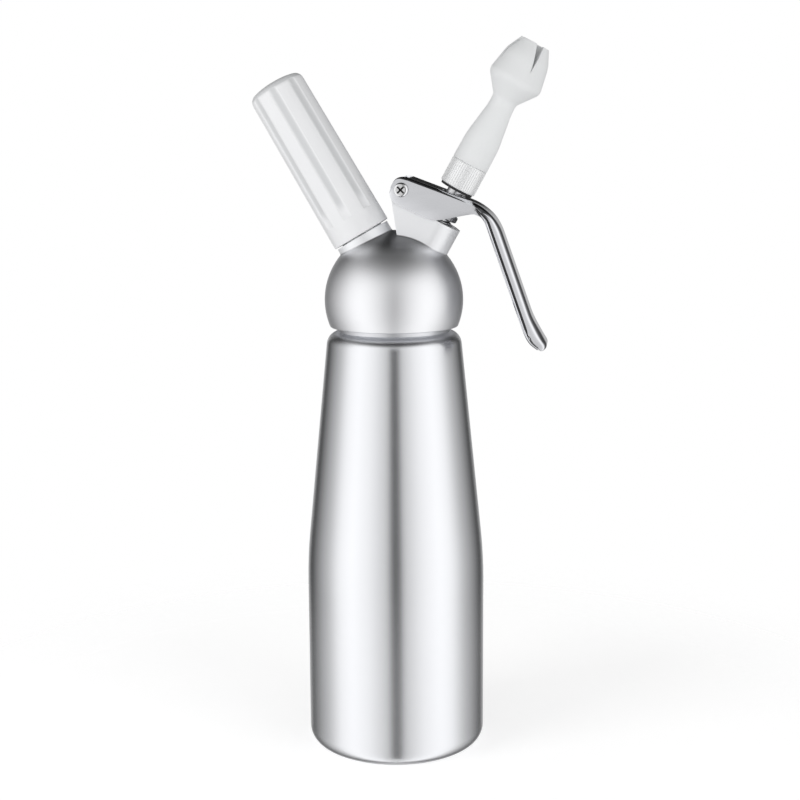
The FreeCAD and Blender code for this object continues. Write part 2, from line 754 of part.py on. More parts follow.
def make_lever():
    """Pressed lever: a slotted plate with two cheeks, bent down into a channelled arm with a spoon end."""
    body = new_body("lever")
    slope = S.arm_bend_angle

    def on_arm(along, rise):
        return (S.arm_bend_at + cosine(slope) * along + sine(slope) * rise,
                S.plate_rise - sine(slope) * along + cosine(slope) * rise)

    gap = (S.boss_radius + S.lever_side_gap) * 2
    width = gap + S.lever_sheet * 2
    lip_end = (S.plate_rise - cosine(slope) * S.arm_depth - S.lip_rise) / sine(slope)
    prism(body, "lever_blank", [
        (S.plate_start, S.plate_rise), (-S.cheek_end, S.cheek_end_top, S.cheek_end_rounding),
        (-S.cheek_end, -S.cheek_end_drop, S.cheek_end_rounding),
        (S.cheek_belly_at, -S.cheek_belly_drop, S.cheek_belly_rounding),
        (S.lip_at, S.lip_rise, S.lip_rounding),
        (*on_arm(lip_end, -S.arm_depth), S.arm_inner_rounding),
        (*on_arm(S.arm_heel_at, -S.arm_depth), S.arm_heel_rounding),
        on_arm(S.arm_end, -S.arm_toe_drop),
        (*on_arm(S.arm_end, S.arm_end_rise), S.arm_end_rounding),
        (*on_arm(S.arm_curl_at, 0), S.arm_curl_rounding),
        (S.arm_bend_at, S.plate_rise, S.arm_bend_rounding)], width)

    def is_outer(edge, faces):
        middle = edge.BoundBox.Center
        on_side = edge.BoundBox.YLength < TOLERANCE and abs(abs(middle.y) - width.value / 2) < TOLERANCE
        bend = math.radians(slope.value)
        past_bend = middle.x - S.arm_bend_at.value
        over_plate = middle.z - S.plate_rise.value
        rise = past_bend * math.sin(bend) + over_plate * math.cos(bend)
        along = past_bend * math.cos(bend) - over_plate * math.sin(bend)
        on_plate = abs(over_plate) < TOLERANCE
        on_back = along > -S.arm_bend_rounding.value and rise > -S.arm_depth.value / 4
        return on_side and (on_plate or on_back)

    fillet(body, "lever_outer_edges", S.lever_edge_rounding, is_outer)

    under = S.plate_rise - S.lever_sheet
    curl = S.arm_end_rise / (S.arm_end - S.arm_curl_at)
    spoon = S.arm_end - S.spoon_wall
    left = -S.cheek_end - S.cheek_end_rounding
    over = S.plate_rise + S.cut_clear
    prism(body, "lever_channel", [
        (S.plate_start, over), (S.plate_start, under),
        (S.arm_bend_at - S.lever_sheet * tangent(slope / 2), under, S.arm_bend_rounding - S.lever_sheet),
        (*on_arm(S.arm_curl_at, -S.lever_sheet), S.arm_curl_rounding + S.lever_sheet),
        (*on_arm(spoon, curl * (spoon - S.arm_curl_at) - S.lever_sheet), S.lever_sheet),
        on_arm(spoon - S.lever_sheet, -S.arm_depth * 2), (left, -S.arm_end), (left, over)],
        gap, "Pocket")

    between = S.valve_lean - S.lever_lean
    slot_at = (S.pivot_arm + sine(between) * S.plate_rise) / cosine(between)
    slot_start = slot_at - S.slot_length / 2
    slot_end = slot_at + S.slot_length / 2
    half = S.slot_width / 2
    prism(body, "stem_slot", [(slot_start, -half), (slot_end, -half), (slot_end, half), (slot_start, half)],
          over * 2, "Pocket", "XY_Plane")

    hole = body.newObject("PartDesign::SubtractiveCylinder", "lever_pivot_hole")
    cross_bore(hole, S.pivot_radius + S.running_gap, width + S.cut_clear * 2, 0, 0)
    PIVOT.place(body)


def place_on_pivot(body, turned):
    """Lays a turned body along the lever's pivot, its +Z towards the near side, -Y."""
    spin = FreeCAD.Rotation(FreeCAD.Vector(0, 0, 1), turned)
    lay = FreeCAD.Rotation(FreeCAD.Vector(1, 0, 0), 90)
    spot = FreeCAD.Vector(PIVOT.x.value, 0, PIVOT.z.value)
    body.Placement = FreeCAD.Placement(spot, lay * spin)
    bind_spot(body, (PIVOT.x, dim(0), PIVOT.z))


def make_pivot():
    """Barrel nut through lever and block, and the cross-headed screw in its open end."""
    face = S.boss_radius + S.lever_side_gap + S.lever_sheet
    thread_bore = S.screw_radius + S.seat_gap
    top = face + S.pivot_head_height
    open_end = face - S.seat_gap
    bore_floor = -S.screw_reach - S.cut_clear
    barrel = turned_body("pivot_sleeve", [
        (0, -top), (S.pivot_head_radius, -top, S.pivot_head_rounding), (S.pivot_head_radius, -face),
        (S.pivot_radius, -face), (S.pivot_radius, open_end), (thread_bore, open_end),
        (thread_bore, bore_floor), (0, bore_floor)])
    place_on_pivot(barrel, 0)

    screw = turned_body("pivot_screw", [
        (0, -S.screw_reach), (S.screw_radius, -S.screw_reach), (S.screw_radius, face),
        (S.pivot_head_radius, face), (S.pivot_head_radius, top, S.pivot_head_rounding), (0, top)])
    slot = screw.newObject("PartDesign::SubtractiveBox", "cross_arm")
    spot = (dim(0), -S.cross_width / 2, top - S.cross_depth)
    slot.Placement.Base = FreeCAD.Vector(*[size.value for size in spot])
    bind(slot, Length=S.cross_length / 2, Width=S.cross_width, Height=S.cross_depth + S.cut_clear)
    bind_spot(slot, spot)
    repeat(screw, "cross_recess", slot, 4)
    place_on_pivot(screw, S.cross_turn.value)


def make_nozzle():
    """Washer, knurled adapter, tip seal and tulip tip, stacked on the stem."""
    adapter_bottom = S.stem_shoulder + S.washer_thickness
    adapter_top = adapter_bottom + S.adapter_height
    spigot_top = adapter_top + S.tip_thread_height
    stem_bore = S.stem_thread_radius + S.thread_gap
    spigot_core = S.tip_thread_radius - S.tip_thread_depth
    ring("adapter_washer", stem_bore, S.washer_radius, S.stem_shoulder, adapter_bottom,
         VALVE, S.washer_rounding)

    adapter = turned_body("nozzle_adapter", [
        (stem_bore, adapter_bottom), (S.adapter_radius, adapter_bottom, S.adapter_edge),
        (S.adapter_radius, adapter_top, S.adapter_edge), (spigot_core, adapter_top),
        (spigot_core, spigot_top), (S.adapter_bore_radius, spigot_top),
        (S.adapter_bore_radius, S.stem_top + S.thread_gap), (stem_bore, S.stem_top + S.thread_gap)], VALVE)
    flare = S.knurl_depth * S.knurl_flare
    outside = S.adapter_radius + S.knurl_depth
    knurl = prism(adapter, "knurl_groove", [
        (S.adapter_radius - S.knurl_depth, 0), (outside, -flare), (outside, flare)],
        (adapter_top + S.cut_clear) * 2, "Pocket", "XY_Plane")
    repeat(adapter, "knurl", knurl, S.knurl_count)
    thread(adapter, "adapter_thread", S.tip_thread_radius, S.tip_thread_depth, S.tip_thread_pitch,
           S.tip_thread_turns, adapter_top + S.tip_thread_pitch)

    seal_top = spigot_top + S.tip_seal_thickness
    tip_bore = S.tip_thread_radius + S.thread_gap
    ring("tip_seal", S.adapter_bore_radius + S.seat_gap, S.tip_thread_radius - S.thread_gap, spigot_top,
         seal_top, VALVE)

    base = adapter_top
    neck = base + S.tip_waist_end
    bulb = base + S.tip_bulb_height
    crown = base + S.tip_crown_height
    lip = base + S.tip_length
    inner_crown = S.tip_crown_radius - S.tip_wall
    tip = turned_body("decorating_tip", [
        (tip_bore, base), (S.adapter_radius, base, S.tip_edge),
        (S.adapter_radius - S.tip_base_draft, base + S.tip_base_height, S.tip_base_rounding),
        (S.tip_waist_radius, base + S.tip_waist_start, S.tip_waist_rounding),
        (S.tip_waist_radius, neck, S.tip_neck_rounding),
        (S.tip_bulb_radius, bulb, S.tip_bulb_rounding), (S.tip_crown_radius, crown, S.tip_crown_rounding),
        (S.tip_mouth_radius, lip, S.tip_lip_rounding),
        (S.tip_mouth_radius - S.tip_wall, lip, S.tip_lip_rounding),
        (inner_crown, crown - S.tip_wall / 2, S.tip_crown_rounding - S.tip_wall),
        (S.tip_bulb_radius - S.tip_wall, bulb + S.tip_wall / 2, S.tip_neck_rounding),
        (S.tip_channel_radius, neck, S.tip_neck_rounding), (S.tip_channel_radius, seal_top),
        (tip_bore, seal_top)], VALVE)
    over_lip = lip + S.cut_clear
    slit = prism(tip, "slit", [
        (0, lip - S.slit_depth), (S.slit_width / 2, over_lip), (-S.slit_width / 2, over_lip)],
        (S.tip_bulb_radius + S.cut_clear) * 2, "Pocket")
    slit.Profile[0].AttachmentOffset = FreeCAD.Placement(
        FreeCAD.Vector(), FreeCAD.Rotation(FreeCAD.Vector(0, 1, 0), S.slit_turn.value))
    slit.Profile[0].setExpression("AttachmentOffset.Rotation.Angle", S.slit_turn.formula)
    repeat(tip, "slits", slit, 2, 90)


def make_charger():
    """Gas inlet parts in the spigot, the charger pierced by its pin, and the holder over it."""
    pin_bottom = S.inlet_floor + S.check_valve_thickness
    pin_top = pin_bottom + S.pin_body_height
    port_top = pin_top + S.port_seal_thickness
    fit = S.inlet_radius - S.seat_gap
    ring("check_valve", S.pin_passage_radius * 2, fit, S.inlet_floor, pin_bottom, CHARGER)

    groove_bottom = pin_bottom + (S.pin_body_height - S.pin_groove_width) / 2
    groove_top = groove_bottom + S.pin_groove_width
    needle_top = pin_top + S.pin_needle_reach
    turned_body("piercing_pin", [
        (S.pin_passage_radius, pin_bottom), (fit, pin_bottom), (fit, groove_bottom),
        (S.pin_groove_radius, groove_bottom), (S.pin_groove_radius, groove_top), (fit, groove_top),
        (fit, pin_top), (S.pin_needle_radius, pin_top), (S.pin_needle_radius, needle_top - S.pin_bevel),
        (S.pin_passage_radius + S.pin_edge, needle_top), (S.pin_passage_radius, needle_top)], CHARGER)
    ring("pin_ring", S.pin_groove_radius + S.seat_gap, fit, groove_bottom + S.seat_gap,
         groove_top - S.seat_gap, CHARGER, S.ring_rounding)
    ring("charger_port_seal", S.pin_needle_radius + S.pin_seal_gap, fit, pin_top, port_top, CHARGER)

    neck_end = port_top + S.thread_gap
    shoulder_start = neck_end + S.charger_neck_length
    shoulder_end = shoulder_start + S.charger_shoulder
    end = neck_end + S.charger_length
    inner = S.charger_radius - S.charger_wall
    inner_neck = S.charger_neck_radius - S.charger_wall
    neck_floor = neck_end + S.charger_neck_wall
    end_rounding = S.charger_radius - S.round_end_gap
    turned_body("gas_charger", [
        (S.charger_hole_radius, neck_end), (S.charger_neck_radius, neck_end, S.charger_lip_rounding),
        (S.charger_neck_radius, shoulder_start, S.charger_neck_rounding),
        (S.charger_radius, shoulder_end, S.charger_shoulder_rounding),
        (S.charger_radius, end, end_rounding), (0, end), (0, end - S.charger_wall),
        (inner, end - S.charger_wall, end_rounding - S.charger_wall),
        (inner, shoulder_end, S.charger_inner_shoulder_rounding),
        (inner_neck, shoulder_start + S.charger_inner_drop, S.charger_inner_neck_rounding),
        (inner_neck, neck_floor), (S.charger_hole_radius, neck_floor)], CHARGER)

    rim = S.charger_boss_top + S.holder_gap
    insert_bottom = rim + S.insert_inset
    insert_top = insert_bottom + S.insert_height
    ring("holder_insert", S.spigot_radius + S.thread_gap, S.insert_radius, insert_bottom, insert_top,
         CHARGER)

    bore = S.charger_radius + S.holder_bore_gap
    bore_top = end + S.holder_top_gap
    top = bore_top + S.holder_top_wall
    recess = S.insert_radius + S.seat_gap
    recess_top = insert_top + S.seat_gap
    sleeve = turned_body("holder_sleeve", [
        (recess, rim), (S.holder_rim_radius, rim, S.holder_rim_rounding),
        (S.holder_top_radius, top - S.holder_dome, S.holder_edge_rounding),
        (S.holder_top_radius / 2, top, S.holder_dome_rounding), (0, top), (0, bore_top),
        (bore, bore_top, bore - S.round_end_gap), (bore, recess_top), (recess, recess_top)])
    flute = sleeve.newObject("PartDesign::SubtractiveCone", "flute")
    taper = (S.holder_rim_radius - S.holder_top_radius) / (top - S.holder_dome - rim)
    surface = S.holder_rim_radius - taper * S.flute_start
    reach = surface - S.flute_depth + S.flute_radius
    length = top - rim - S.flute_start
    spot = (reach * cosine(S.flute_phase), reach * sine(S.flute_phase), rim + S.flute_start)
    flute.Placement.Base = FreeCAD.Vector(*[size.value for size in spot])
    bind_spot(flute, spot)
    bind(flute, Radius1=S.flute_radius, Radius2=S.flute_radius + taper * length, Height=length)
    repeat(sleeve, "flutes", flute, S.flute_count)
    CHARGER.place(sleeve)


make_bottle()
ring("head_gasket", S.gasket_inner_radius, S.neck_thread_radius, mouth, head_seat)
make_head()
make_valve()
make_lever()
make_pivot()
make_nozzle()
make_charger()

doc.recompute()
for item in doc.Objects:
    if "Invalid" in item.State or "Error" in item.State:
        raise RuntimeError(f"{item.Name} did not build: {item.State}")

bodies = [item for item in doc.Objects if item.TypeId == "PartDesign::Body"]
for body in bodies:
    if body.Shape.isNull() or not body.Shape.isValid():
        raise RuntimeError(f"{body.Label} has no valid shape")

os.makedirs("parts", exist_ok=True)
for body in bodies:
    body.Shape.exportStep(f"parts/{body.Label}.step")
    print(f"{body.Label}: {len(body.Shape.Solids)} solid, {body.Shape.Volume / 1000:.3f} cm3")
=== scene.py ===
import math

import bmesh
import bpy
from mathutils import Matrix, Vector


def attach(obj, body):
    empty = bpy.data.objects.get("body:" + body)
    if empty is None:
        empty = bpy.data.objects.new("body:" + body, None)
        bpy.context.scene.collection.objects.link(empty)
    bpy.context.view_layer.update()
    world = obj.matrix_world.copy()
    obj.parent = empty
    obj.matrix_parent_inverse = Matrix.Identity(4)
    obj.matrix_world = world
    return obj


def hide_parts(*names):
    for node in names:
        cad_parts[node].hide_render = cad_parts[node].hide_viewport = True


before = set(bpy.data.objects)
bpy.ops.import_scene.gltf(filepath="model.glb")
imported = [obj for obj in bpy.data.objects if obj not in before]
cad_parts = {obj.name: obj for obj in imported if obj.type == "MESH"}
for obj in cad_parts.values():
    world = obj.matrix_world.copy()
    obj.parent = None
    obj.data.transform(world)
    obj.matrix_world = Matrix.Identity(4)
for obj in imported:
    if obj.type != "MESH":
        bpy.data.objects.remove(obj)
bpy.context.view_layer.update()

# Camera: a long lens in front of the dispenser, a little above its middle and looking slightly down.
# It stands a few degrees to the right of the plane in which the lever and the charger holder lie.
camera_angle = math.radians(7.0)
camera_pitch = math.radians(9.825)
camera_roll = math.radians(-0.404)
camera_distance = 0.6692
camera_height = 0.2694
camera_data = bpy.data.cameras.new("camera")
camera_data.sensor_width = 36.0
camera_data.lens = 70.41
camera_data.shift_x = 0.00666
camera_data.clip_start = 0.01
camera = bpy.data.objects.new("camera", camera_data)
bpy.context.collection.objects.link(camera)
stand = Vector((math.sin(camera_angle), -math.cos(camera_angle), 0.0)) * camera_distance
aim = (Matrix.Rotation(camera_angle, 4, "Z") @ Matrix.Rotation(math.pi / 2 - camera_pitch, 4, "X")
       @ Matrix.Rotation(camera_roll, 4, "Z"))
camera.matrix_world = Matrix.Translation(stand + Vector((0.0, 0.0, camera_height))) @ aim
bpy.context.scene.camera = camera
bpy.context.scene.view_settings.view_transform = "Standard"


# Bottle: drawn from aluminium in one piece, tapered in towards the shoulder and threaded at its mouth.
# It is blasted and clear anodised, so it is pale, with a fine even grain and a few faint handling rubs.
# From the shoulder up it is duller, and its colour there is darkened as painted shade.
class Strand:
    """A value inside a finish: an operator used on it adds the Math node that does the same."""

    def __init__(self, nodes, socket):
        self.nodes = nodes
        self.socket = socket

    def math(self, operation, *values):
        return self.nodes.node("ShaderNodeMath", {"operation": operation}, *values)

    def __add__(self, other):
        return self.math("ADD", self, other)

    def __sub__(self, other):
        return self.math("SUBTRACT", self, other)

    def __rsub__(self, other):
        return self.math("SUBTRACT", other, self)

    def __mul__(self, other):
        return self.math("MULTIPLY", self, other)

    def __truediv__(self, other):
        return self.math("DIVIDE", self, other)

    def __abs__(self):
        return self.math("ABSOLUTE", self)

    __radd__ = __add__
    __rmul__ = __mul__

    def ease(self, start, end):
        """0 before start and 1 after end, with a smooth change between them."""
        smooth = {"interpolation_type": "SMOOTHSTEP"}
        return self.nodes.node("ShaderNodeMapRange", smooth, self, start, end, 0.0, 1.0)

    def inside(self, low, high, soft):
        """1 between low and high, and 0 outside them, with soft edges."""
        return self.ease(low - soft, low + soft) * (1.0 - self.ease(high - soft, high + soft))


class Nodes:
    """A node tree that is written as expressions."""

    def __init__(self, tree):
        self.tree = tree

    def join(self, socket, value):
        if isinstance(value, Strand):
            self.tree.links.new(value.socket, socket)
        else:
            socket.default_value = value

    def node(self, kind, settings, *values, out=0, **named):
        made = self.tree.nodes.new(kind)
        for key, value in settings.items():
            if key == "stops":
                for _ in value[2:]:
                    made.color_ramp.elements.new(0.5)
                for stop, (place, level) in zip(made.color_ramp.elements, value):
                    stop.position = place
                    stop.color = (level, level, level, 1.0)
            else:
                setattr(made, key, value)
        for place, value in [*enumerate(values), *named.items()]:
            self.join(made.inputs[place], value)
        return Strand(self, made.outputs[out])

    def blend(self, first, second, amount):
        """One colour turning into another as amount goes from 0 to 1."""
        made = self.tree.nodes.new("ShaderNodeMix")
        made.data_type = "RGBA"
        for place, value in ((0, amount), (6, first), (7, second)):
            self.join(made.inputs[place], value)
        return Strand(self, made.outputs[2])

    def rays(self):
        """1 for each kind of ray that may arrive: the camera's own, a mirrored one, and one through glass."""
        path = self.tree.nodes.new("ShaderNodeLightPath")
        kinds = ("Is Camera Ray", "Is Glossy Ray", "Is Transmission Ray")
        return [Strand(self, path.outputs[kind]) for kind in kinds]


class Finish(Nodes):
    """One finish: a material whose shader takes fixed values from `fixed` and varying ones from coat()."""

    def __init__(self, name, fixed):
        self.material = bpy.data.materials.new(name)
        self.material.use_nodes = True
        super().__init__(self.material.node_tree)
        self.shader = self.tree.nodes["Principled BSDF"]
        for socket, value in fixed.items():
            self.shader.inputs[socket].default_value = value
        self.place = self.node("ShaderNodeTexCoord", {}, out="Object")

    def grain(self, scale, detail=2.0, stretch=(1.0, 1.0, 1.0)):
        """Noise from 0 to 1 with about `scale` grains in a metre, stretched along chosen axes."""
        place = self.node("ShaderNodeMapping", {}, Vector=self.place, Scale=stretch)
        return self.node("ShaderNodeTexNoise", {}, Vector=place, Scale=scale, Detail=detail)

    def axis(self, name):
        return self.node("ShaderNodeSeparateXYZ", {}, self.place, out=name)

    def coat(self, colour=None, rough=None, relief=None, depth=0.0):
        """Joins the colour, the roughness and a relief, `depth` metres deep, to the shader."""
        if colour is not None:
            self.join(self.shader.inputs["Base Color"], colour)
        if rough is not None:
            self.join(self.shader.inputs["Roughness"], rough)
        if relief is not None:
            bump = self.node("ShaderNodeBump", {}, Strength=1.0, Distance=depth, Height=relief)
            self.join(self.shader.inputs["Normal"], bump)

    def give(self, *names):
        """Gives this finish to the named solids."""
        for name in names:
            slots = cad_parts[name].material_slots
            for slot in slots:
                slot.material = self.material


bottle_grey = (0.855, 0.862, 0.885, 1.0)
bottle_shade = (0.745, 0.755, 0.78, 1.0)
shoulder_start, shoulder_end = 0.1805, 0.183
anodised = Finish("bottle_satin", {"Metallic": 1.0})
blast = anodised.grain(3200.0)
rubs = anodised.grain(60.0, 3.0, (1.0, 1.0, 0.12))
cloud = anodised.grain(14.0)
# From the shoulder up the colour turns towards bottle_shade as painted shade, and the roughness rises there
# too.
shoulder_dull_and_shaded = anodised.axis("Z").ease(shoulder_start, shoulder_end)
grain_and_painted_shade = 0.7 * blast + 0.4 * cloud - 0.3 + 0.5 * shoulder_dull_and_shaded
anodised.coat(anodised.blend(bottle_grey, bottle_shade, grain_and_painted_shade),
              0.175 + 0.05 * blast + 0.03 * rubs + 0.02 * cloud + 0.16 * shoulder_dull_and_shaded, blast, 0.000009)
anodised.give("bottle")

# Pale seals: the flat ring between the bottle's mouth and the head, the tip's seal and the charger's seal.
# They are moulded in grey silicone, with a dull skin and a little dust on it.
silicone = Finish("seal_silicone", {"Specular IOR Level": 0.35})
dust = silicone.grain(900.0, 3.0)
silicone.coat(silicone.blend((0.5, 0.51, 0.52, 1.0), (0.63, 0.64, 0.65, 1.0), dust),
              0.55 + 0.2 * dust, dust, 0.00002)
silicone.give("head_gasket", "tip_seal", "charger_port_seal")

# Head: cast aluminium, with the dome, the valve block and the charger's spigot in one piece.
# The dome is blasted to a speckled satin, and its crown, between the block and the spigot, is coloured dark
# grey as painted shade.
# The block and the spigot over it are finer and paler.
dome_centre = (0.0, 0.0, 0.1973)
dome_radius = 0.0297
block_start, block_full = 0.206, 0.208
crown_shade_start, crown_shade_full = 0.2185, 0.2235
cast = Finish("head_satin", {})
speckle = cast.grain(1900.0, 3.0)
cloud = cast.grain(30.0)
apart = {"operation": "DISTANCE"}
from_centre = cast.node("ShaderNodeVectorMath", apart, cast.place, dome_centre, out="Value")
off_dome = from_centre.ease(dome_radius + 0.0001, dome_radius + 0.0006)
block = off_dome * cast.axis("Z").ease(block_start, block_full)
# Painted shade: the dome's crown is blended towards dark grey.
crown_painted_shade = (1.0 - block) * (cast.axis("Z") + 0.0012 * speckle).ease(crown_shade_start, crown_shade_full)
bright = cast.blend((0.925, 0.93, 0.95, 1.0), (0.955, 0.963, 0.98, 1.0), block + 0.3 * speckle - 0.15)
cast.coat(cast.blend(bright, (0.3, 0.302, 0.31, 1.0), crown_painted_shade),
          0.36 + 0.07 * speckle + 0.04 * cloud - 0.02 * block, speckle, 0.00002)
cast.join(cast.shader.inputs["Metallic"], 1.0 - 0.6 * block)
cast.give("head")

# Black seals: the valve's seal and ring, the adapter's washer, the non-return valve and the pin's ring.
# All are nitrile rubber, matt, with a fine moulded skin.
rubber = Finish("black_rubber", {"Specular IOR Level": 0.3})
skin = rubber.grain(1500.0, 3.0)
rubber.coat(rubber.blend((0.018, 0.018, 0.019, 1.0), (0.045, 0.045, 0.047, 1.0), skin),
            0.5 + 0.2 * skin, skin, 0.00002)
rubber.give("valve_seal", "stem_ring", "adapter_washer", "check_valve", "pin_ring")

# Valve stem, spring and piercing pin: stainless steel, turned on a lathe and left as cut.
# The cutter's fine rings run across the axis, and the steel is bright with slightly duller bands.
turned = Finish("turned_steel", {"Metallic": 1.0})
rings = turned.grain(350.0, 2.0, (0.35, 0.35, 6.0))
turned.coat(turned.blend((0.6, 0.6, 0.615, 1.0), (0.7, 0.7, 0.71, 1.0), rings),
            0.18 + 0.14 * rings, rings, 0.00001)
turned.give("valve_stem", "return_spring", "piercing_pin")

# Valve collar: a turned steel nut that closes the stem's bore, coloured dark grey.
# It is burnished, with faint tool marks round its flange.
collar_steel = Finish("collar_steel", {"Metallic": 1.0})
marks = collar_steel.grain(420.0, 2.0, (0.4, 0.4, 5.0))
collar_steel.coat(collar_steel.blend((0.2, 0.2, 0.21, 1.0), (0.4, 0.4, 0.41, 1.0), marks),
                  0.16 + 0.12 * marks, marks, 0.00001)
collar_steel.give("stem_collar")

# Lever: pressed from one blank of stainless sheet, as a slotted plate with two flat cheeks that runs on
# into a channel-shaped arm. The arm's edges are turned out behind a fine groove, and all of it is polished.
pivot = Vector((0.0046046, 0.0, 0.2444002))
lever_lean = math.radians(20.7)
lever_half = 0.01125
lever_sheet = 0.0012
plate_rise = 5.8
bend_at = 39.35
bend_slope = math.radians(49.8)
bend_radius = 22.0
arm_depth = 4.5
bend_start = bend_at - bend_radius * math.tan(bend_slope / 2)
bend_run = bend_radius * math.tan(bend_slope / 2)
plate_corner = [(3.0, 90.0, 35.0, 8)]
bend_corner = [(8.5, 90.0, 56.0, 8)]
arm_corner = [(4.0, 90.0, 84.0, 1), (24.0, 84.0, 72.0, 3), (2.3, 72.0, 15.0, 4)]
side_slope = 0.22
lip_depth = 1.12
groove_width = 0.98
groove_sink = 0.25
lip_flare = 0.12
front_end = 1.19
slot_start, slot_end = 15.6, 25.6
fold_start, fold_full = 31.5, 40.0
toe_start, toe_full = 72.5, 76.5
painted_dark_start, painted_dark_end = 31.0, 75.5


def on_arm(along, rise):
    """A point beside the arm's straight back, in millimetres from the pivot along and over the plate."""
    return (bend_at + math.cos(bend_slope) * along + math.sin(bend_slope) * rise,
            plate_rise - math.sin(bend_slope) * along + math.cos(bend_slope) * rise)


def straight(first, last, count):
    return [tuple(a + (b - a) * step / count for a, b in zip(first, last)) for step in range(count)]


def rounded(first, corner, last, count):
    """Points on the soft corner between two straight runs."""
    points = []
    for step in range(count):
        part = step / count
        points.append(tuple((1 - part) ** 2 * a + 2 * part * (1 - part) * b + part ** 2 * c
                            for a, b, c in zip(first, corner, last)))
    return points


def spread(points, count):
    """The same line with evenly spaced points, its last one left out."""
    lengths = [0.0]
    for first, last in zip(points, points[1:]):
        lengths.append(lengths[-1] + math.dist(first, last))
    even = []
    for step in range(count):
        wanted = lengths[-1] * step / count
        index = max(i for i, length in enumerate(lengths) if length <= wanted)
        part = (wanted - lengths[index]) / (lengths[index + 1] - lengths[index])
        even.append(tuple(a + (b - a) * part for a, b in zip(points[index], points[index + 1])))
    return even


belly_start, belly, belly_end = (13.95, -7.25), (17.0, -7.5), (19.66, -6.0)
lip_start, lip_end = (31.9, 1.3), (36.2, 1.3)
plate_stops = [1.2, 5.0, 9.0, 12.5, 15.68, 17.4, 19.1, 20.7, 22.3, 24.0, 25.68, 27.4]
outer = rounded((-4.4, 0.6), (-4.4, 5.3), (1.2, 5.8), 9)
outer += [(stop, plate_rise) for stop in plate_stops]
outer += [(bend_start + bend_radius * math.sin(bend_slope * step / 14),
           plate_rise - bend_radius + bend_radius * math.cos(bend_slope * step / 14)) for step in range(14)]
straight_end = 45.3
kick, toe_back = on_arm(50.66, 0.48), on_arm(59.6, 2.07)
toe_front, toe_end = on_arm(62.35, -0.03), on_arm(62.2, -0.75)
outer += straight(on_arm(bend_run, 0), on_arm(straight_end, 0), 10)
outer += rounded(on_arm(straight_end, 0), on_arm(48.0, 0), kick, 4)
outer += straight(kick, toe_back, 7)
outer += rounded(toe_back, on_arm(62.15, 2.35), toe_front, 7)
outer += straight(toe_front, toe_end, 2) + [toe_end]
cheek_start, cheek_end = (1.2, -6.2), (29.0, -0.35)
inner = rounded((-4.4, -0.9), (-4.4, -5.7), cheek_start, 9)
under_plate = (straight(cheek_start, belly_start, 12) + rounded(belly_start, belly, belly_end, 8)
               + straight(belly_end, cheek_end, 12) + [cheek_end])
inner += spread(under_plate, len(plate_stops))
arm_top, arm_start = on_arm(3.75, -arm_depth), on_arm(bend_run, -arm_depth)
under_bend = (straight(cheek_end, (31.4, 1.0), 4) + rounded((31.4, 1.0), lip_start, (32.5, 1.3), 4)
              + straight((32.5, 1.3), (34.5, 1.3), 4) + rounded((34.5, 1.3), lip_end, arm_top, 8)
              + straight(arm_top, arm_start, 6) + [arm_start])
inner += spread(under_bend, 14)
heel_start, heel = on_arm(straight_end, -arm_depth), on_arm(53.9, -arm_depth)
heel_end, toe_under, toe_lip = on_arm(58.2, -3.6), on_arm(60.3, -2.2), on_arm(62.0, -1.05)
inner += straight(arm_start, heel_start, 10)
heel_line = (straight(heel_start, heel, 8) + rounded(heel, on_arm(56.2, -arm_depth), heel_end, 6)
             + straight(heel_end, toe_under, 3) + [toe_under])
inner += spread(heel_line, 11)
inner += spread([toe_under, on_arm(61.7, -1.25), toe_lip], 9) + [toe_lip]


def ease(value, low, high):
    part = min(max((value - low) / (high - low), 0.0), 1.0)
    return part * part * (3 - 2 * part)


def rolled(arcs):
    """Points on arcs from the back round to the side: how far out and down from the first arc's start."""
    across, down, points = 0.0, 0.0, []
    for radius, first, last, count in arcs:
        for step in range(1, count + 1):
            around = math.radians(first + (last - first) * step / count)
            points.append((across + radius * (math.cos(around) - math.cos(math.radians(first))),
                           down + radius * (math.sin(math.radians(first)) - math.sin(around))))
        across, down = points[-1]
    return points


def section(over, under):
    """Half of the sheet's section between its back and its edge: across and down, in millimetres."""
    depth = math.dist(over, under)
    on_bend = ease(over[0], 27.0, 40.0)
    at_toe = ease(over[0], toe_start, toe_full)
    corner = rolled(plate_corner)
    for arcs, amount in ((bend_corner, ease(over[0], 24.0, 33.0)), (arm_corner, ease(over[0], 33.0, 41.0))):
        corner = [(a + (c - a) * amount, b + (d - b) * amount)
                  for (a, b), (c, d) in zip(corner, rolled(arcs))]
    size = min(0.4 + 0.6 * ease(over[0], -4.0, 0.5), 0.45 * depth / corner[-1][1])
    corner_end = corner[-1][1] * size
    half = lever_half * 1000
    folded = ease(over[0], fold_start, fold_full) * (1.0 - at_toe)
    start = half - corner[-1][0] * size
    points = [(0.0, 0.0), (min(2.0, start / 3), 0.0), (min(4.0, start / 1.5), 0.0), (start, 0.0)]
    points += [(start + across * size, down * size) for across, down in corner]
    edge_strip = min(0.4, 0.3 * depth)
    groove = corner_end + min(0.1, 0.1 * depth)
    groove += (depth - lip_depth - groove) * folded + (depth - edge_strip - groove) * at_toe
    groove_end = groove + 0.3 * edge_strip + (groove_width - 0.3 * edge_strip) * folded
    flare = lip_flare * ease(over[0], 19.0, 29.0) * ease(depth, 0.8, 3.5)
    wide = side_slope * (groove - corner_end) * on_bend
    points += [(half + wide * step / 3, corner_end + (groove - corner_end) * step / 3) for step in (1, 2, 3)]
    half += wide
    points += [(half - groove_sink * folded, (groove + groove_end) / 2)]
    points += [(half - 0.3 * groove_sink * folded, groove_end)]
    points += [(half + 0.3 * flare, (groove_end + depth) / 2), (half + flare, depth)]
    return points


